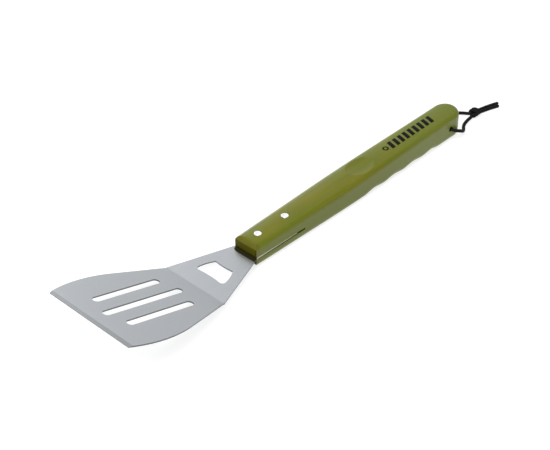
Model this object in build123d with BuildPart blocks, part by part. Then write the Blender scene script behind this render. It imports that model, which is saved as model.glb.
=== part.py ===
from build123d import *
import os
from math import cos, radians, sin, tan

# Grill spatula (turner) with a bottle opener in its neck and a cord loop at its butt.
# Millimetres. +X points from the blade to the butt and +Z up. The spatula lies on the flat
# underside of its handle at Z = 0, with the blade raised. X = Y = 0 is the middle of its length
# and width, the cord left out.

# ---- driving dimensions -------------------------------------------------------------------------
overall_length = 436.5  # the cord left out
steel = 1.2  # sheet thickness of blade, neck and tang
tang_z = 9.15  # underside of the neck and tang

# blade: distances are along the sheet, from the bend line towards the front edge
blade_length = 111.0
blade_rise = 17.4  # degrees, from the bend up to the front edge
bend_radius = 5.0  # of the sheet's upper side
bend_half = 32.1  # half-widths of the blade
straight_end, straight_half = 47.7, 44.6
belly_at, belly_half = 78.0, 48.6
front_half = 43.6
bevel_length = 3.6  # ground front edge
edge_thickness = 0.35
slot_width = 6.9
slot_pitch = 19.0
side_slot_length = 68.3
middle_slot_length = 81.7

# neck, tang and bottle opener: distances are from the bend line towards the butt
neck_end, neck_end_half = 58.9, 11.95
tang_end, tang_end_half = 105.0, 12.35
opener_front, opener_front_half = 15.2, 15.4
opener_rear, opener_rear_half = 32.9, 9.6
opener_tooth = 1.5  # how far the lifting edge bows into the opening
opener_rear_bow = 0.7
opener_side_bow = 1.25
opener_front_round, opener_rear_round = 3.0, 1.0  # corners of the opening

# handle: distances are from the bend line towards the butt
handle_front, handle_front_half = 57.4, 11.85
handle_swell = [(105.0, 12.9), (168.0, 14.1), (240.0, 13.7)]  # distance and half-width
front_flare = 0.04  # slope of the sides in plan at the front end
butt_half = 12.9  # also the radius of the butt in plan
front_height, butt_height = 21.65, 25.75
crown_radius = 60.0  # of the top, across the handle
top_edge_round, bottom_edge_round = 4.6, 5.5  # along the sides and round the butt
front_edge_round = 5.2  # over the top and bottom of the front end
kerf_height, kerf_end = 2.0, 114.4
groove_first, groove_pitch, groove_count = 204.0, 27.0, 4
groove_depth, ridge_depth = 1.9, 0.55
groove_run_out = 15.5
dish_at, dish_half_length, dish_depth = 196.7, 15.5, 1.5

# rivets
rivet_stations = {"rivet_front": 71.5, "rivet_rear": 103.6}
shank_radius = 2.0
shank_gap = 0.1
head_radius, head_height = 3.3, 1.2
head_gap = 0.12  # around and above the heads in their counterbores
dimple_radius, dimple_depth = 1.9, 0.25
head_corner = 0.3

# cord, its cross bore and its knot
cord_radius = 1.6
cord_bore_radius = 2.25
cord_bore_at, cord_bore_z = 311.5, 12.4
cord_bore_flare = 0.6  # depth of the softened mouths
arc_share = 0.45  # of a run of cord that the arc at each of its ends may take
knot_start, knot_length = 353.8, 12.2
knot_y, knot_z = -4.0, 4.3
knot_half_width, knot_half_height, knot_round = 5.2, 4.2, 2.8

# ---- derived ------------------------------------------------------------------------------------
rise = radians(blade_rise)
bend_x = blade_length * cos(rise) - overall_length / 2
standing = (Align.CENTER, Align.CENTER, Align.MIN)
selecting_room = 0.1  # how far an edge may be from the place it is picked by
butt_x = overall_length / 2
butt_centre_x = butt_x - butt_half
top_slope = (butt_height - front_height) / (butt_x - bend_x - handle_front)


def at(distance):
    """The X of a place, given its distance from the bend line towards the butt."""
    return bend_x + distance


def handle_top(distance):
    """The height of the handle's top face, which climbs gently towards the butt."""
    return front_height + top_slope * (distance - handle_front)


# ---- turner blade: blade, bend, neck and tang in one sheet --------------------------------------
blade_plane = Plane(
    origin=(bend_x, 0, tang_z), x_dir=(-cos(rise), 0, sin(rise)), z_dir=(sin(rise), 0, cos(rise))
)
bend_outer = bend_radius + steel
bend_cut = bend_outer * tan(rise / 2)  # how much of each flat the bend takes
bend_centre = (at(bend_cut), tang_z + bend_outer)

with BuildPart() as turner_blade:
    # slotted blade, on its own rising plane
    with BuildSketch(blade_plane):
        with BuildLine():
            straight = Line((bend_cut, bend_half), (straight_end, straight_half))
            rear_belly = TangentArc((straight @ 1), (belly_at, belly_half), tangent=straight % 1)
            front_belly = TangentArc((rear_belly @ 1), (blade_length, front_half), tangent=rear_belly % 1)
            mirror(about=Plane.XZ)
            Line((blade_length, front_half), (blade_length, -front_half))
            Line((bend_cut, bend_half), (bend_cut, -bend_half))
        make_face()
        with Locations((blade_length / 2, slot_pitch), (blade_length / 2, -slot_pitch)):
            SlotOverall(side_slot_length, slot_width, mode=Mode.SUBTRACT)
        with Locations((blade_length / 2, 0)):
            SlotOverall(middle_slot_length, slot_width, mode=Mode.SUBTRACT)
    extrude(amount=steel)

    # ground bevel along the front edge
    front_edge = turner_blade.edges().filter_by(Axis.Y).sort_by(Axis.Z)[-1]
    blade_top = turner_blade.faces().sort_by(Axis(blade_plane.origin, blade_plane.z_dir))[-1]
    chamfer(front_edge, length=bevel_length, length2=steel - edge_thickness, reference=blade_top)

    # bend
    with BuildSketch(Plane.XZ):
        with BuildLine():
            under = CenterArc(bend_centre, bend_outer, -90 - blade_rise, blade_rise)
            upper = CenterArc(bend_centre, bend_radius, -90 - blade_rise, blade_rise)
            Line(under @ 0, upper @ 0)
            Line(under @ 1, upper @ 1)
        make_face()
    extrude(amount=bend_half, both=True)

    # neck and tang, with the opener and the rivet holes
    with BuildSketch(Plane.XY.offset(tang_z)):
        with BuildLine():
            Polyline(
                (at(bend_cut), bend_half), (at(neck_end), neck_end_half), (at(tang_end), tang_end_half),
                (at(tang_end), -tang_end_half), (at(neck_end), -neck_end_half), (at(bend_cut), -bend_half),
                close=True,
            )
        make_face()
        with Locations(*[(at(station), 0) for station in rivet_stations.values()]):
            Circle(shank_radius + shank_gap, mode=Mode.SUBTRACT)
    extrude(amount=steel)
    with BuildSketch(Plane.XY.offset(tang_z)):
        with BuildLine():
            front_left = Vector(at(opener_front), opener_front_half)
            rear_left = Vector(at(opener_rear), opener_rear_half)
            outward = (rear_left - front_left).normalized().rotate(Axis.Z, 90) * opener_side_bow
            ThreePointArc(front_left, (front_left + rear_left) / 2 + outward, rear_left)
            mirror(about=Plane.XZ)
            ThreePointArc(front_left, (at(opener_front + opener_tooth), 0), (front_left.X, -front_left.Y))
            ThreePointArc(rear_left, (at(opener_rear - opener_rear_bow), 0), (rear_left.X, -rear_left.Y))
        make_face()
    extrude(amount=steel, mode=Mode.SUBTRACT)
    for corners_at, corner_round in ((opener_front, opener_front_round), (opener_rear, opener_rear_round)):
        corners = turner_blade.edges().filter_by(Axis.Z).filter_by_position(
            Axis.X, at(corners_at) - selecting_room, at(corners_at) + selecting_room
        )
        fillet(corners, corner_round)
turner_blade.part.label = "turner_blade"

# ---- handle -------------------------------------------------------------------------------------
with BuildPart() as handle:
    # outline seen from above: sides that swell in the middle, round butt
    with BuildSketch():
        with BuildLine():
            side = Spline(
                (at(handle_front), handle_front_half),
                *[(at(distance), half) for distance, half in handle_swell],
                (butt_centre_x, butt_half),
                tangents=((1, front_flare), (1, 0)),
            )
            mirror(about=Plane.XZ)
            Line((at(handle_front), handle_front_half), (at(handle_front), -handle_front_half))
            ThreePointArc((butt_centre_x, butt_half), (butt_x, 0), (butt_centre_x, -butt_half))
        make_face()
    extrude(amount=butt_height)

    # outline seen from the side: finger grooves below, a climbing top
    wave = [(at(groove_first - groove_run_out), 0)]
    for i in range(groove_count):
        centre = groove_first + i * groove_pitch
        wave.append((at(centre), groove_depth))
        if i < groove_count - 1:
            wave.append((at(centre + groove_pitch / 2), ridge_depth))
    wave.append((at(centre + groove_run_out), 0))
    with BuildSketch(Plane.XZ):
        with BuildLine():
            Line((at(handle_front), 0), wave[0])
            Spline(*wave, tangents=((1, 0), (1, 0)))
            Polyline(
                wave[-1], (butt_x, 0), (butt_x, butt_height), (at(handle_front), front_height),
                (at(handle_front), 0),
            )
        make_face()
    extrude(amount=2 * butt_half, both=True, mode=Mode.INTERSECT)

    # crowned top, climbing with the side outline
    top_line = Vector(1, 0, top_slope).normalized()
    with BuildSketch(Plane(origin=(at(handle_front), 0, front_height), x_dir=(0, 1, 0), z_dir=top_line)):
        with Locations((0, -crown_radius)):
            Circle(crown_radius)
    extrude(amount=overall_length, both=True, mode=Mode.INTERSECT)

    for low, high, edge_round in (
        (0, butt_height / 2, bottom_edge_round),
        (butt_height / 2, butt_height, top_edge_round),
    ):
        long_edges = handle.edges().filter_by_position(Axis.Z, low, high).filter_by(
            lambda edge: edge.bounding_box().max.X > at(handle_front) + selecting_room
            and edge.bounding_box().size.Z < butt_height / 2
        )
        fillet(long_edges, edge_round)

    # front end rounded over above and below, with crisp edges at its two sides
    with BuildSketch(Plane.XZ):
        with BuildLine():
            Polyline(
                (at(handle_front), 0), (butt_x, 0), (butt_x, butt_height), (at(handle_front), front_height),
                close=True,
            )
        front_side = make_face()
        fillet(front_side.vertices().group_by(Axis.X)[0], front_edge_round)
    extrude(amount=2 * butt_half, both=True, mode=Mode.INTERSECT)

    # thumb dish
    dish_radius = (dish_half_length**2 + dish_depth**2) / (2 * dish_depth)
    with Locations((at(dish_at), 0, handle_top(dish_at) - dish_depth + dish_radius)):
        Sphere(dish_radius, mode=Mode.SUBTRACT)

    # saw kerf for the tang, open at the front and at both sides
    with Locations((at(handle_front), 0, tang_z + steel)):
        Box(
            kerf_end - handle_front, 4 * butt_half, kerf_height,
            align=(Align.MIN, Align.CENTER, Align.MAX), mode=Mode.SUBTRACT,
        )

    # rivet bores, counterbored at both ends
    head_seat = head_gap + head_height
    for station in rivet_stations.values():
        with Locations((at(station), 0, 0)):
            Cylinder(shank_radius + shank_gap, butt_height, align=standing, mode=Mode.SUBTRACT)
            Cylinder(head_radius + head_gap, head_seat, align=standing, mode=Mode.SUBTRACT)
        with Locations((at(station), 0, handle_top(station) - head_seat)):
            Cylinder(head_radius + head_gap, butt_height, align=standing, mode=Mode.SUBTRACT)

    # cross bore for the cord, with flared mouths
    for turn in (90, -90):
        with Locations(Location((at(cord_bore_at), 0, cord_bore_z), (turn, 0, 0))):
            Cylinder(cord_bore_radius, 2 * butt_half, align=standing, mode=Mode.SUBTRACT)
            with Locations((0, 0, butt_half - cord_bore_flare)):
                Cone(
                    cord_bore_radius, cord_bore_radius + 2 * cord_bore_flare, 2 * cord_bore_flare,
                    align=standing, mode=Mode.SUBTRACT,
                )
handle.part.label = "handle"


# ---- rivets: a shank with a head at each end, the upper head dished ------------------------------
dimple_sphere = (dimple_radius**2 + dimple_depth**2) / (2 * dimple_depth)

rivets = {}
for name, station in rivet_stations.items():
    low, high = head_gap, handle_top(station) - head_gap
    with BuildPart() as rivet:
        with Locations((at(station), 0, low)):
            Cylinder(head_radius, head_height, align=standing)
            Cylinder(shank_radius, high - low, align=standing)
        with Locations((at(station), 0, high - head_height)):
            Cylinder(head_radius, head_height, align=standing)
        outer_rims = rivet.edges().filter_by(GeomType.CIRCLE).group_by(Axis.Z)
        fillet(outer_rims[0] + outer_rims[-1], head_corner)
        with Locations((at(station), 0, high - dimple_depth + dimple_sphere)):
            Sphere(dimple_sphere, mode=Mode.SUBTRACT)
    rivet.part.label = name
    rivets[name] = rivet.part


# ---- cord ---------------------------------------------------------------------------------------
# One limp cord runs through the cross bore; both ends meet in a knot behind the butt and leave it
# as two short tails. Each stretch is a list of (distance from the bend line, Y, Z).
strand_near_route = [
    (311.5, 0, 11.9),
    (311.5, -14.9, 11.9),
    (317.9, -18.8, 10.2),
    (329.9, -14.4, 2.1),
    (338.0, -7.8, 1.65),
    (346.6, -5.5, 1.7),
    (357.0, -5.1, 2.8),
]
strand_far_route = [
    (311.5, 0, 11.9),
    (311.5, 15.0, 11.9),
    (318.5, 18.8, 9.7),
    (333.0, 18.3, 2.4),
    (345.5, 14.2, 1.65),
    (353.4, 6.6, 1.9),
    (357.0, -2.5, 3.1),
]
tail_long_route = [
    (363.5, -2.2, 2.7),
    (371.5, -2.9, 1.65),
    (381.0, -5.0, 1.65),
    (391.5, -8.5, 1.65),
]
tail_short_route = [
    (363.5, -5.6, 2.7),
    (370.5, -6.3, 1.65),
    (379.0, -8.5, 1.65),
    (388.0, -11.8, 1.65),
]

with BuildPart() as cord_knot:
    with BuildSketch(Plane.YZ.offset(at(knot_start))):
        with Locations((knot_y, knot_z)):
            Ellipse(knot_half_width, knot_half_height)
    extrude(amount=knot_length)
    fillet(cord_knot.edges(), knot_round)
cord_knot.part.label = "cord_knot"


def cord_path(route):
    """Straight runs joined by arcs as large as the shorter run beside each corner allows."""
    points = [Vector(at(distance), y, z) for distance, y, z in route]
    radii = []
    for before, corner, after in zip(points, points[1:], points[2:]):
        turn = radians((corner - before).get_angle(after - corner))
        shorter = min((corner - before).length, (after - corner).length)
        radii.append(arc_share * shorter / tan(turn / 2))
    with BuildLine() as path:
        FilletPolyline(*points, radius=radii)
    return path.wire()


cord = {}
for name, route in {
    "cord_strand_near": strand_near_route,
    "cord_strand_far": strand_far_route,
    "cord_tail_long": tail_long_route,
    "cord_tail_short": tail_short_route,
}.items():
    path = cord_path(route)
    with BuildPart() as stretch:
        with BuildSketch(Plane(path @ 0, z_dir=path % 0)):
            Circle(cord_radius)
        sweep(path=path)
        add(cord_knot.part, mode=Mode.SUBTRACT)
    stretch.part.label = name
    cord[name] = stretch.part

os.makedirs("parts", exist_ok=True)
for piece in [turner_blade.part, handle.part, *rivets.values(), cord_knot.part, *cord.values()]:
    export_step(piece, f"parts/{piece.label}.step")
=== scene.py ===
"""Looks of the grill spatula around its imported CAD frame. Metres; +X runs from blade to butt, +Z is up."""
import math

import bpy
import numpy as np
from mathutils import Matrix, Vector


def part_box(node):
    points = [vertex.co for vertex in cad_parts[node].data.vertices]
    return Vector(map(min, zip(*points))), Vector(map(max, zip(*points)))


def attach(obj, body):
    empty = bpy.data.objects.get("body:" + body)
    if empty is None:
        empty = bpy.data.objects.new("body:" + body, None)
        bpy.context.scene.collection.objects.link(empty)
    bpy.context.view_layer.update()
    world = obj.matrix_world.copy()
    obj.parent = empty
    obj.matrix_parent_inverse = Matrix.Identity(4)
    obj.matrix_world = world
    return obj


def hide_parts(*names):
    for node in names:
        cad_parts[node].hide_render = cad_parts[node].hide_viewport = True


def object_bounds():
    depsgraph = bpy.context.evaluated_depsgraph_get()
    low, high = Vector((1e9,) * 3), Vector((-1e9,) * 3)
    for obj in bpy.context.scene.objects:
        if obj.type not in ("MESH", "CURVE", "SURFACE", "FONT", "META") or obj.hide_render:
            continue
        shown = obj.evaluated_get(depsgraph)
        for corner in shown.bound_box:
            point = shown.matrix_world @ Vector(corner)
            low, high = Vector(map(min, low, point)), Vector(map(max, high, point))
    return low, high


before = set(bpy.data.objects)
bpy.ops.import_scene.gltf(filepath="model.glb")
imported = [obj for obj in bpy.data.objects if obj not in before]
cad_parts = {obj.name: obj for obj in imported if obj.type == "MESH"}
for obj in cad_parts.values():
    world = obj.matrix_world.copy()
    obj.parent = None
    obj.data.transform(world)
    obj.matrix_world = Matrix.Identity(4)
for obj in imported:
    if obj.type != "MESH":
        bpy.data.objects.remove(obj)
cad_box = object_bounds()

MM = 0.001

# ---------------------------------------------------------------------------
# Places, all taken from the frame
# ---------------------------------------------------------------------------
HANDLE_FRONT_DISTANCE = 57.4 * MM       # from the bend line between blade and neck to the handle's front
handle_low, handle_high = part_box("handle")
blade_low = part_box("turner_blade")[0]
BEND_X = handle_low.x - HANDLE_FRONT_DISTANCE
FLOOR_Z = cad_box[0].z


def at(distance):
    """X of a place given in millimetres behind the bend line."""
    return BEND_X + distance * MM


def behind_front(distance):
    """X of a place given in millimetres behind the handle's front face."""
    return handle_low.x + distance * MM


def along(points):
    """Points in millimetres as (distance behind the bend line, y, z), turned into metres in the frame."""
    return [(at(distance), y * MM, z * MM) for distance, y, z in points]


# ---------------------------------------------------------------------------
# Node trees
# ---------------------------------------------------------------------------
class Tree:
    """Short calls that add nodes to a node tree. Any input may be a number, a tuple or another socket."""

    def __init__(self, node_tree):
        self.nodes = node_tree.nodes
        self.links = node_tree.links
        self.nodes.clear()

    def add(self, kind, inputs=None, **settings):
        node = self.nodes.new(kind)
        for name, value in settings.items():
            setattr(node, name, value)
        for name, value in (inputs or {}).items():
            self.put(node.inputs[name], value)
        return node

    def put(self, socket, value):
        if isinstance(value, bpy.types.NodeSocket):
            self.links.new(value, socket)
        else:
            socket.default_value = value

    def math(self, operation, a, b=0.0):
        return self.add("ShaderNodeMath", {0: a, 1: b}, operation=operation).outputs[0]

    def plus(self, a, b):
        return self.math("ADD", a, b)

    def minus(self, a, b):
        return self.math("SUBTRACT", a, b)

    def times(self, a, b):
        return self.math("MULTIPLY", a, b)

    def over(self, a, b):
        return self.math("DIVIDE", a, b)

    def larger(self, a, b):
        return self.math("MAXIMUM", a, b)

    def unsigned(self, a):
        return self.math("ABSOLUTE", a)

    def step(self, value, start, end):
        """0 before start and 1 past end, with a smooth ramp between them; end may be below start."""
        low, high = min(start, end), max(start, end)
        first, last = (0.0, 1.0) if end > start else (1.0, 0.0)
        return self.add("ShaderNodeMapRange", {"Value": value, "From Min": low, "From Max": high,
                                               "To Min": first, "To Max": last},
                        interpolation_type="SMOOTHSTEP").outputs["Result"]

    def blend(self, factor, a, b, blend_type="MIX"):
        """Two colours mixed; sockets 6 and 7 are the colour inputs and output 2 is the colour result."""
        node = self.add("ShaderNodeMix", {0: factor, 6: a, 7: b}, data_type="RGBA", blend_type=blend_type)
        return node.outputs[2]

    def facing(self, direction, towards):
        """Cosine of the angle between a direction and a fixed one."""
        inputs = {0: direction, 1: Vector(towards).normalized()}
        return self.add("ShaderNodeVectorMath", inputs, operation="DOT_PRODUCT").outputs["Value"]


class Shader(Tree):
    """One material, with its patterns placed by object coordinates."""

    def __init__(self, name):
        self.material = bpy.data.materials.new(name)
        self.material.use_nodes = True
        super().__init__(self.material.node_tree)
        self.place = self.add("ShaderNodeTexCoord").outputs["Object"]

    def axes(self, source=None):
        return self.add("ShaderNodeSeparateXYZ", {0: source or self.place}).outputs

    def scaled(self, x, y, z, source=None):
        inputs = {"Vector": source or self.place, "Scale": (x, y, z)}
        return self.add("ShaderNodeMapping", inputs).outputs["Vector"]

    def noise(self, where, detail, scale=1.0, roughness=0.55):
        return self.add("ShaderNodeTexNoise", {"Vector": where, "Scale": scale, "Detail": detail,
                                               "Roughness": roughness}).outputs["Fac"]

    def even_noise(self, scale, detail):
        """Noise of one scale in every direction."""
        return self.noise(self.scaled(scale, scale, scale), detail)

    def bump(self, height, distance, strength):
        inputs = {"Height": height, "Distance": distance, "Strength": strength}
        return self.add("ShaderNodeBump", inputs).outputs["Normal"]

    def finish(self, **inputs):
        """Ends the tree in a Principled shader; the names are its sockets with underscores for spaces."""
        named = {name.replace("_", " "): value for name, value in inputs.items()}
        surface = self.add("ShaderNodeBsdfPrincipled", named)
        self.add("ShaderNodeOutputMaterial", {"Surface": surface.outputs["BSDF"]})
        return self.material


def paint(node, material):
    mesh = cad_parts[node].data
    mesh.materials.clear()
    mesh.materials.append(material)


# ---------------------------------------------------------------------------
# Steel
# ---------------------------------------------------------------------------
STEEL_DARK = (0.570, 0.590, 0.610, 1)
STEEL_PALE = (0.632, 0.655, 0.677, 1)
STEEL_CLOUD = (0.530, 0.550, 0.570, 1)
# painted shade: the ground strip's darker tone stands in for its forward tilt
SHADED_GROUND_STEEL = (0.345, 0.36, 0.37, 1)
# painted shade on the sheet's cut edges
SHADED_CUT_STEEL = (0.085, 0.090, 0.095, 1)
KERF_LACQUER = (0.50, 0.51, 0.40, 1)
# painted shade on the sheet in front of the handle, made dull and dark
PAINTED_SHEET_SHADE = (0.020, 0.019, 0.007, 1)
GROUND_WIDTH = 3.7 * MM                 # of the ground strip behind the blade's front edge
SHADE_REACH = 4.7 * MM                      # reach of the painted shade over the sheet in front of the handle
SHADE_REACH_SIDE = 11.2 * MM                # its reach towards +Y, where it thins out


def brushed_steel():
    """Stainless sheet brushed along its length, with a ground strip along the front edge."""
    tree = Shader("brushed_stainless")
    x, y, _ = tree.axes()
    fine = tree.noise(tree.scaled(90, 5200, 5200), detail=2.0)
    streak = tree.noise(tree.scaled(16, 1100, 1100), detail=3.0)
    cloud = tree.even_noise(34, detail=3.0)
    grain = tree.plus(tree.times(fine, 0.55), tree.times(streak, 0.45))
    cross_grain = tree.noise(tree.scaled(5200, 70, 5200), detail=2.0)
    base = tree.blend(streak, STEEL_DARK, STEEL_PALE)
    base = tree.blend(tree.times(cloud, 0.30), base, STEEL_CLOUD)
    strip_end = blade_low.x + GROUND_WIDTH
    strip = tree.step(x, strip_end + 0.2 * MM, strip_end - 0.2 * MM)
    # the ground strip's darker colour is painted shade; its cross grain below is real
    base = tree.blend(tree.times(strip, 0.90), base, SHADED_GROUND_STEEL)
    height = tree.blend(strip, grain, cross_grain)
    rough = tree.plus(tree.times(cloud, 0.08), tree.plus(tree.times(grain, 0.10), 0.22))

    # the cut edges are painted near-black as shade on the sheet's walls, and in the saw kerf they carry
    # lacquer
    normal = tree.axes(tree.add("ShaderNodeNewGeometry").outputs["Normal"])
    cut_edge = tree.step(tree.unsigned(normal[2]), 0.7, 0.5)
    base = tree.blend(tree.times(cut_edge, 0.92), base, SHADED_CUT_STEEL)
    in_kerf = tree.times(cut_edge, tree.step(x, behind_front(-1.4), behind_front(0.1)))
    base = tree.blend(tree.times(in_kerf, 0.9), base, KERF_LACQUER)

    # painted shade on the sheet a little way in front of the handle, for its shadow and the reflection of
    # its dark front face, reaching less far towards the +Y side
    ahead = tree.larger(tree.over(tree.minus(handle_low.x, x), SHADE_REACH), 0.0)
    aside = tree.math("POWER", tree.over(tree.larger(y, 0.0), SHADE_REACH_SIDE), 5.0)
    sheet_shade = tree.step(tree.plus(tree.times(ahead, ahead), aside), 1.12, 0.92)
    sheet_shade = tree.times(sheet_shade, tree.step(x, behind_front(0.4), behind_front(0.1)))
    base = tree.blend(sheet_shade, base, PAINTED_SHEET_SHADE)
    metal = tree.minus(1.0, tree.times(tree.larger(in_kerf, sheet_shade), 0.96))
    shine = tree.minus(0.5, tree.times(sheet_shade, 0.42))
    return tree.finish(Base_Color=base, Metallic=metal, Roughness=rough, Specular_IOR_Level=shine,
                       Normal=tree.bump(height, 0.02 * MM, 0.6))


# ---------------------------------------------------------------------------
# Wood and its print
# ---------------------------------------------------------------------------
GREEN_DARK = (0.098, 0.118, 0.005, 1)
GREEN_PALE = (0.146, 0.170, 0.008, 1)
BROWN_DARK = (0.132, 0.128, 0.004, 1)
BROWN_PALE = (0.200, 0.190, 0.007, 1)
# painted highlight: paler, greyer green over the rear of the handle
REAR_HIGHLIGHT_GREEN = (0.165, 0.195, 0.022, 1)
FIBRE = (0.075, 0.083, 0.004, 1)
PORE = (0.070, 0.070, 0.006, 1)
# painted shade for the front end: over its rounded edges, on its face, and at its joint with the steel
FRONT_EDGE_SHADE = (0.100, 0.086, 0.003, 1)
END_GRAIN_AND_SHADE = (0.066, 0.059, 0.003, 1)
EDGE_DARK_AND_SHADE = (0.012, 0.010, 0.001, 1)
INK = (0.006, 0.006, 0.006, 1)
REAR_START, REAR_END = at(190), at(290)     # the colour turns greener and paler between these, a painted highlight


def lacquered_wood():
    """Olive stain and clear lacquer over a close, lengthwise grain; the front end is darker end grain with
    painted shade over it.
    """
    tree = Shader("lacquered_olive_wood")
    x, y, z = tree.axes()

    # grain lines, swaying a little on their way
    sway = tree.even_noise(9, detail=1.0)
    lift = tree.add("ShaderNodeCombineXYZ", {1: tree.times(sway, 0.006), 2: tree.times(sway, 0.004)})
    flow = tree.add("ShaderNodeVectorMath", {0: tree.place, 1: lift.outputs[0]}, operation="ADD").outputs[0]
    rings = tree.noise(tree.scaled(7, 260, 190, source=flow), detail=4.0, roughness=0.6)
    fibre = tree.noise(tree.scaled(45, 1500, 1500, source=flow), detail=3.0)
    pore = tree.step(tree.noise(tree.scaled(130, 3300, 3300, source=flow), detail=1.0), 0.60, 0.72)
    patch = tree.noise(tree.scaled(13, 30, 30), detail=2.0)

    # green sides, with browner patches along the top that fade towards the rear
    green = tree.blend(rings, GREEN_DARK, GREEN_PALE)
    brown = tree.blend(rings, BROWN_DARK, BROWN_PALE)
    on_top = tree.step(z, handle_high.z - 7.5 * MM, handle_high.z - 3.5 * MM)
    rear_highlight = tree.step(x, REAR_START, REAR_END)
    browner = tree.times(on_top, tree.step(patch, 0.30, 0.66))
    browner = tree.times(browner, tree.minus(1.0, tree.times(rear_highlight, 0.75)))
    colour = tree.blend(browner, green, brown)
    # painted highlight: the rear turns paler
    colour = tree.blend(tree.times(rear_highlight, 0.45), colour, REAR_HIGHLIGHT_GREEN)
    colour = tree.blend(tree.times(fibre, 0.30), colour, FIBRE)
    colour = tree.blend(tree.times(pore, 0.35), colour, PORE)

    # the front end: painted shade over its rounded edges behind the face, end grain on the face with more
    # painted shade, darker along its corners and rim, and painted contact shade where the face meets the
    # steel
    ragged = tree.plus(x, tree.times(tree.minus(patch, 0.5), 5 * MM))
    front_edge_shade = tree.step(ragged, behind_front(5.6), behind_front(1.6))
    colour = tree.blend(tree.times(front_edge_shade, 0.60), colour, FRONT_EDGE_SHADE)
    face = tree.step(x, behind_front(0.35), behind_front(0.05))
    colour = tree.blend(tree.times(face, 0.92), colour, END_GRAIN_AND_SHADE)
    corner = tree.times(face, tree.step(tree.unsigned(y), 10.3 * MM, 11.5 * MM))
    contact_shade = tree.times(face, tree.step(z, handle_low.z + 11.9 * MM, handle_low.z + 10.9 * MM))
    rim = tree.times(tree.step(x, behind_front(1.5), behind_front(0.9)),
                     tree.step(x, behind_front(0.1), behind_front(0.4)))
    rim = tree.times(rim, tree.step(patch, 0.40, 0.55))
    edge_dark_and_shade = tree.larger(tree.larger(tree.times(corner, 0.7), contact_shade), tree.times(rim, 0.6))
    colour = tree.blend(tree.times(edge_dark_and_shade, 0.85), colour, EDGE_DARK_AND_SHADE)

    ink = printed_bars(tree, x, y, z)
    colour = tree.blend(ink, colour, INK)
    height = tree.minus(tree.times(fibre, 0.5), tree.times(pore, 0.5))
    rough = tree.plus(tree.times(patch, 0.10), 0.34)
    peel = tree.even_noise(420, detail=1.0)
    bare = tree.larger(ink, tree.times(face, 0.88))
    coat = tree.times(tree.minus(1.0, bare), 0.70)
    return tree.finish(Base_Color=colour, Roughness=rough, Normal=tree.bump(height, 0.05 * MM, 0.5),
                       Specular_IOR_Level=0.05, Coat_Weight=coat, Coat_Roughness=0.30, Coat_IOR=1.40,
                       Coat_Normal=tree.bump(peel, 0.03 * MM, 0.35))


BAR_START, BAR_END = at(238.5), at(298.5)
BAR_PITCH = 6.8 * MM
BAR_HALF_HEIGHT = 4.9 * MM
BAR_SLANT = 0.28
BAR_SHARE = 0.645                       # of the pitch, from its start to the end of the bar
RING_MIDDLE = at(233.0)
RING_INNER, RING_OUTER = 1.5 * MM, 2.95 * MM
INK_BLUR = 0.15 * MM                    # width of the ink's soft edges


def printed_bars(tree, x, y, z):
    """A plain row of slanted bars in black ink, with a ring before them, on the handle's top."""
    leaned = tree.minus(x, tree.times(y, BAR_SLANT))
    phase = tree.math("FRACT", tree.over(tree.minus(leaned, BAR_START), BAR_PITCH))
    bar = tree.times(tree.step(phase, 0.02, 0.05), tree.step(phase, BAR_SHARE + 0.015, BAR_SHARE - 0.015))
    inside = tree.times(tree.step(leaned, BAR_START - 0.1 * MM, BAR_START),
                        tree.step(leaned, BAR_END, BAR_END - 0.1 * MM))
    tall = tree.step(tree.unsigned(y), BAR_HALF_HEIGHT, BAR_HALF_HEIGHT - INK_BLUR)
    bars = tree.times(tree.times(bar, inside), tall)
    ring_x = tree.minus(x, RING_MIDDLE)
    reach = tree.math("SQRT", tree.plus(tree.times(ring_x, ring_x), tree.times(y, y)))
    ring = tree.times(tree.step(reach, RING_INNER - INK_BLUR, RING_INNER),
                      tree.step(reach, RING_OUTER + INK_BLUR, RING_OUTER))
    on_top = tree.step(z, handle_high.z - 4.0 * MM, handle_high.z - 3.0 * MM)
    ink = tree.times(tree.larger(bars, ring), on_top)
    worn = tree.noise(tree.scaled(900, 1600, 900), detail=3.0)
    return tree.times(ink, tree.step(worn, 0.22, 0.34))


# ---------------------------------------------------------------------------
# Rivets and cord
# ---------------------------------------------------------------------------
ALUMINIUM_DARK = (0.90, 0.90, 0.91, 1)
ALUMINIUM_PALE = (0.97, 0.97, 0.97, 1)
CORD_DARK = (0.001, 0.001, 0.001, 1)
CORD_PALE = (0.008, 0.007, 0.008, 1)


def turned_aluminium():
    """Bright rivet heads, finely speckled."""
    tree = Shader("turned_aluminium")
    speck = tree.even_noise(2600, detail=2.0)
    cloud = tree.even_noise(300, detail=2.0)
    base = tree.blend(cloud, ALUMINIUM_DARK, ALUMINIUM_PALE)
    rough = tree.plus(tree.times(speck, 0.10), 0.34)
    return tree.finish(Base_Color=base, Metallic=0.60, Roughness=rough,
                       Normal=tree.bump(speck, 0.01 * MM, 0.3))


def black_cord():
    """Waxed black fibre; the mesh carries u along the lay and v around it."""
    tree = Shader("black_cord")
    lay = tree.add("ShaderNodeTexCoord").outputs["UV"]
    fibre = tree.noise(tree.scaled(3, 46, 1, source=lay), detail=3.0, scale=6.0)
    fuzz = tree.even_noise(1900, detail=3.0)
    tone = tree.plus(tree.times(fibre, 0.6), tree.times(fuzz, 0.4))
    base = tree.blend(tone, CORD_DARK, CORD_PALE)
    return tree.finish(Base_Color=base, Roughness=0.75, Specular_IOR_Level=0.18, Sheen_Weight=0.02,
                       Sheen_Roughness=0.4, Normal=tree.bump(tone, 0.12 * MM, 0.8))


aluminium = turned_aluminium()
cord_fibre = black_cord()
paint("turner_blade", brushed_steel())
paint("handle", lacquered_wood())
paint("rivet_front", aluminium)
paint("rivet_rear", aluminium)

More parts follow.
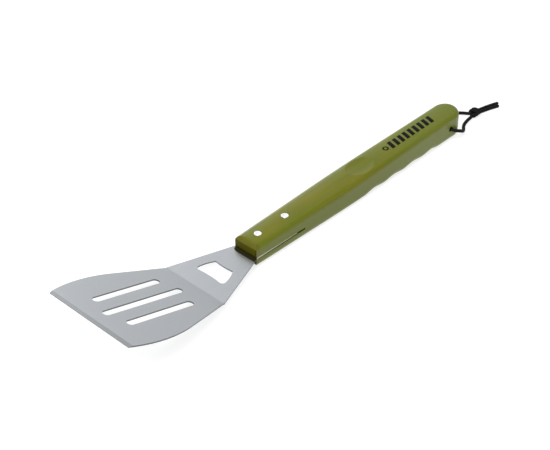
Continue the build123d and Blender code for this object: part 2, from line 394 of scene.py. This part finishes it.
# ---------------------------------------------------------------------------
# Cord: one length through the bore, knotted behind the butt, with two short ends
# ---------------------------------------------------------------------------
CORD_DIAMETER = 3.2 * MM
STRANDS = 3
LAY_PITCH = 6.5 * MM                    # length of cord in which a strand goes once round it
LOBE_DEPTH = 0.10                       # of the grooves between strands, as a share of the radius
CORD_SIDES = 36                         # points round the cord's section
RING_SPACING = 0.30 * MM                # between sections along the cord
END_ROUNDING = CORD_DIAMETER / 3
END_SHARE = 0.55                        # of the radius that is left at a cut end
# control points as (distance behind the bend line, y, z), in millimetres
NEAR_ROUTE = [
    (311.5, 0, 11.9), (311.5, -14.9, 11.9), (317.9, -18.8, 10.2), (329.9, -14.4, 2.1), (338.0, -7.8, 1.65),
    (346.6, -5.5, 1.7), (357.0, -5.1, 2.8), (363.5, -5.6, 2.7), (370.5, -6.3, 1.65), (379.0, -8.5, 1.65),
    (388.0, -11.8, 1.65),
]
FAR_ROUTE = [
    (311.5, 0, 11.9), (311.5, 15.0, 11.9), (318.5, 18.8, 9.7), (333.0, 18.3, 2.4), (345.5, 14.2, 1.65),
    (353.4, 6.6, 1.9), (357.0, -2.5, 3.1), (363.5, -2.2, 2.7), (371.5, -2.9, 1.65), (381.0, -5.0, 1.65),
    (391.5, -8.5, 1.65),
]


def smooth_line(name, points):
    """Points along a NURBS spline whose control points are the given ones, in metres."""
    curve = bpy.data.curves.new(name + "_line", "CURVE")
    curve.dimensions = "3D"
    curve.resolution_u = 24
    spline = curve.splines.new("NURBS")
    spline.points.add(len(points) - 1)
    for point, place in zip(spline.points, points):
        point.co = (*place, 1.0)
    spline.order_u = 3
    spline.use_endpoint_u = True
    holder = bpy.data.objects.new(name + "_line", curve)
    bpy.context.scene.collection.objects.link(holder)
    mesh = bpy.data.meshes.new_from_object(holder)
    line = np.array([vertex.co for vertex in mesh.vertices])
    bpy.data.objects.remove(holder)
    bpy.data.meshes.remove(mesh)
    bpy.data.curves.remove(curve)
    return line


def resample(line, spacing):
    """The same line with points at an even spacing, and how far along it each of them is."""
    steps = np.linalg.norm(np.diff(line, axis=0), axis=1)
    run = np.concatenate([[0.0], np.cumsum(steps)])
    count = max(2, round(run[-1] / spacing) + 1)
    wanted = np.linspace(0, run[-1], count)
    return np.column_stack([np.interp(wanted, run, line[:, axis]) for axis in range(3)]), wanted


def cross_directions(line):
    """Two directions across the line at each of its points, turning as little as possible along it."""
    tangents = np.gradient(line, axis=0)
    tangents /= np.linalg.norm(tangents, axis=1)[:, None]
    side = np.cross(tangents[0], (0, 0, 1.0))
    if np.linalg.norm(side) < 0.1:
        side = np.cross(tangents[0], (0, 1.0, 0))
    sides = []
    for tangent in tangents:
        side = side - tangent * side.dot(tangent)
        side = side / np.linalg.norm(side)
        sides.append(side)
    sides = np.array(sides)
    return sides, np.cross(tangents, sides)


def rope_mesh(name, path, run):
    """A lobed section of twisted strands swept along the path, closed with rounded ends."""
    sides, ups = cross_directions(path)
    angle = np.linspace(0, 2 * math.pi, CORD_SIDES, endpoint=False)
    lobe = 1 - LOBE_DEPTH + LOBE_DEPTH * np.abs(np.cos(angle * STRANDS / 2)) ** 0.7
    last = len(path) - 1
    rings = []
    for index, centre in enumerate(path):
        from_end = min(index, last - index) * RING_SPACING
        share = min(1.0, END_SHARE + (1 - END_SHARE) * from_end / END_ROUNDING)
        turned = angle + 2 * math.pi * run[index] / LAY_PITCH
        across = np.cos(turned)[:, None] * sides[index] + np.sin(turned)[:, None] * ups[index]
        rings.append(centre + CORD_DIAMETER / 2 * share * lobe[:, None] * across)
    faces = []
    for index in range(last):
        for k in range(CORD_SIDES):
            here = index * CORD_SIDES + k
            onward = index * CORD_SIDES + (k + 1) % CORD_SIDES
            faces.append((here, onward, onward + CORD_SIDES, here + CORD_SIDES))
    faces.append(tuple(reversed(range(CORD_SIDES))))
    faces.append(tuple(range(last * CORD_SIDES, (last + 1) * CORD_SIDES)))
    mesh = bpy.data.meshes.new(name)
    mesh.from_pydata(np.concatenate(rings).tolist(), [], faces)
    layer = mesh.uv_layers.new(name="lay")
    for loop in mesh.loops:
        ring_index, k = divmod(loop.vertex_index, CORD_SIDES)
        layer.data[loop.index].uv = (run[ring_index] / LAY_PITCH, k / CORD_SIDES)
    mesh.validate()
    for polygon in mesh.polygons:
        polygon.use_smooth = True
    return mesh


def rope(name, line):
    """A piece of laid cord along the line, and the path that it follows."""
    path, run = resample(line, RING_SPACING)
    piece = bpy.data.objects.new(name, rope_mesh(name, path, run))
    bpy.context.scene.collection.objects.link(piece)
    piece.data.materials.append(cord_fibre)
    return piece, path


def make_cord(name, route, nodes):
    line = smooth_line(name, along(route))
    piece, path = rope(name, line)
    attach(piece, "root")
    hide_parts(*nodes)


KNOT_CENTRE = (359.9, -4.0, 4.2)        # distance behind the bend line, y and z, in millimetres
KNOT_STEPS = 12                         # control points along a turn, less one
KNOT_START, KNOT_SWEEP = 150, 500       # degrees round the cords
KNOT_ADVANCE = 5.8                      # of a turn along the cords, in millimetres
TURN_OFFSET = 1.45                      # of each turn from the knot's middle, in millimetres
TURN_WIDTH, TURN_HEIGHT = 3.45, 2.40    # half measures of a turn's middle line, in millimetres
TURN_SWELL_WIDTH, TURN_SWELL_HEIGHT = 0.25, 0.15    # added to them halfway along a turn
TUCKED = 0.45                           # share of these measures at the two ends of a turn


def knot_turn(side):
    """Control points of one turn, wound along the cords; side is -1 or 1."""
    centre = Vector(along([KNOT_CENTRE])[0])
    points = []
    for step in range(KNOT_STEPS + 1):
        done = step / KNOT_STEPS
        angle = math.radians(KNOT_START + KNOT_SWEEP * done)
        swell = math.sin(math.pi * done)
        tuck = TUCKED if step in (0, KNOT_STEPS) else 1.0
        points.append((
            centre.x + (KNOT_ADVANCE * (done - 0.5) + TURN_OFFSET * side) * MM,
            centre.y + (TURN_WIDTH + TURN_SWELL_WIDTH * swell) * tuck * math.cos(angle) * MM,
            centre.z + (TURN_HEIGHT + TURN_SWELL_HEIGHT * swell) * tuck * math.sin(angle) * MM,
        ))
    return points


def make_knot():
    """The overhand knot that ties both cords: two turns wound side by side, their ends tucked in."""
    turns = [rope(f"knot_turn_{index}", smooth_line("knot_turn", knot_turn(side)))[0]
             for index, side in enumerate((-1, 1))]
    bpy.ops.object.select_all(action="DESELECT")
    for turn in turns:
        turn.select_set(True)
    knot = turns[0]
    bpy.context.view_layer.objects.active = knot
    bpy.ops.object.join()
    knot.name = "overhand_knot"
    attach(knot, "root")
    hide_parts("cord_knot")
    return knot


knot_piece = make_knot()
make_cord("cord_near", NEAR_ROUTE, ["cord_strand_near", "cord_tail_short"])
make_cord("cord_far", FAR_ROUTE, ["cord_strand_far", "cord_tail_long"])


# ---------------------------------------------------------------------------
# Stage: floor, lights and camera
# ---------------------------------------------------------------------------
FLOOR_REACH = 6.0
FLOOR_DROP = 0.05 * MM                  # keeps the floor clear of the handle's underside
FLOOR_DARK = (0.34, 0.34, 0.34, 1)
FLOOR_PALE = (0.36, 0.36, 0.36, 1)
ROOM_DIM = (0.35, 0.355, 0.36, 1)
ROOM_BRIGHT = (0.62, 0.63, 0.64, 1)
BRIGHT_SIDE = (0.52, 0.80, 0.32)
WINDOW_SIDE = (0.30, 0.92, 0.24)
WINDOW_EDGE = 0.86                      # cosine of the angle at which the window's glow ends
WINDOW_GLOW = 3.3


def make_floor():
    tree = Shader("pale_floor")
    grain = tree.even_noise(6, detail=2.0)
    material = tree.finish(Base_Color=tree.blend(grain, FLOOR_DARK, FLOOR_PALE), Roughness=0.9,
                           Specular_IOR_Level=0.1, Emission_Color=(1.0, 1.0, 1.0, 1), Emission_Strength=0.74)
    mesh = bpy.data.meshes.new("floor")
    corners = [(x * FLOOR_REACH, y * FLOOR_REACH, FLOOR_Z - FLOOR_DROP)
               for x, y in ((-1, -1), (1, -1), (1, 1), (-1, 1))]
    mesh.from_pydata(corners, [], [(0, 1, 2, 3)])
    mesh.materials.append(material)
    floor = bpy.data.objects.new("floor", mesh)
    bpy.context.scene.collection.objects.link(floor)


def make_world():
    """A grey room that is lighter on one side, with the soft glow of a window low behind the spatula."""
    world = bpy.data.worlds.new("studio")
    bpy.context.scene.world = world
    world.use_nodes = True
    tree = Tree(world.node_tree)
    direction = tree.add("ShaderNodeTexCoord").outputs["Generated"]
    room = tree.add("ShaderNodeValToRGB", {0: tree.facing(direction, BRIGHT_SIDE)})
    room.color_ramp.interpolation = "EASE"
    dim, bright = room.color_ramp.elements
    dim.position, dim.color = 0.30, ROOM_DIM
    bright.position, bright.color = 0.80, ROOM_BRIGHT
    window = tree.add("ShaderNodeMapRange", {"Value": tree.facing(direction, WINDOW_SIDE),
                                             "From Min": WINDOW_EDGE, "From Max": 1.0,
                                             "To Min": 0.0, "To Max": WINDOW_GLOW},
                      interpolation_type="SMOOTHERSTEP")
    total = tree.blend(1.0, room.outputs[0], window.outputs["Result"], blend_type="ADD")
    background = tree.add("ShaderNodeBackground", {0: total})
    tree.add("ShaderNodeOutputWorld", {0: background.outputs[0]})


def turn_towards(thing, direction):
    thing.rotation_mode = "QUATERNION"
    thing.rotation_quaternion = direction.to_track_quat("-Z", "Y")


def softbox(name, place, target, size, power):
    data = bpy.data.lights.new(name, "AREA")
    data.shape = "RECTANGLE"
    data.size, data.size_y = size
    data.energy = power
    light = bpy.data.objects.new(name, data)
    light.location = place
    turn_towards(light, Vector(target) - Vector(place))
    bpy.context.scene.collection.objects.link(light)


VIEW_AZIMUTH = -46.80                   # degrees, as is the elevation
VIEW_ELEVATION = 37.38
VIEW_DISTANCE = 1.0797
VIEW_TARGET = Vector((at(63.98), -0.0262, 0.0479))
LENS = 90.33
SENSOR_WIDTH = 36.0


def make_camera():
    azimuth, elevation = math.radians(VIEW_AZIMUTH), math.radians(VIEW_ELEVATION)
    back = Vector((math.sin(azimuth) * math.cos(elevation), -math.cos(azimuth) * math.cos(elevation),
                   math.sin(elevation)))
    data = bpy.data.cameras.new("camera")
    data.lens = LENS
    data.sensor_width = SENSOR_WIDTH
    camera = bpy.data.objects.new("camera", data)
    camera.location = VIEW_TARGET + back * VIEW_DISTANCE
    turn_towards(camera, -back)
    bpy.context.scene.collection.objects.link(camera)
    bpy.context.scene.camera = camera


make_floor()
make_world()
softbox("key_above", place=(-0.8, -0.3, 1.5), target=(0, 0, 0), size=(1.2, 1.2), power=30)
make_camera()
bpy.context.scene.view_settings.view_transform = "Standard"
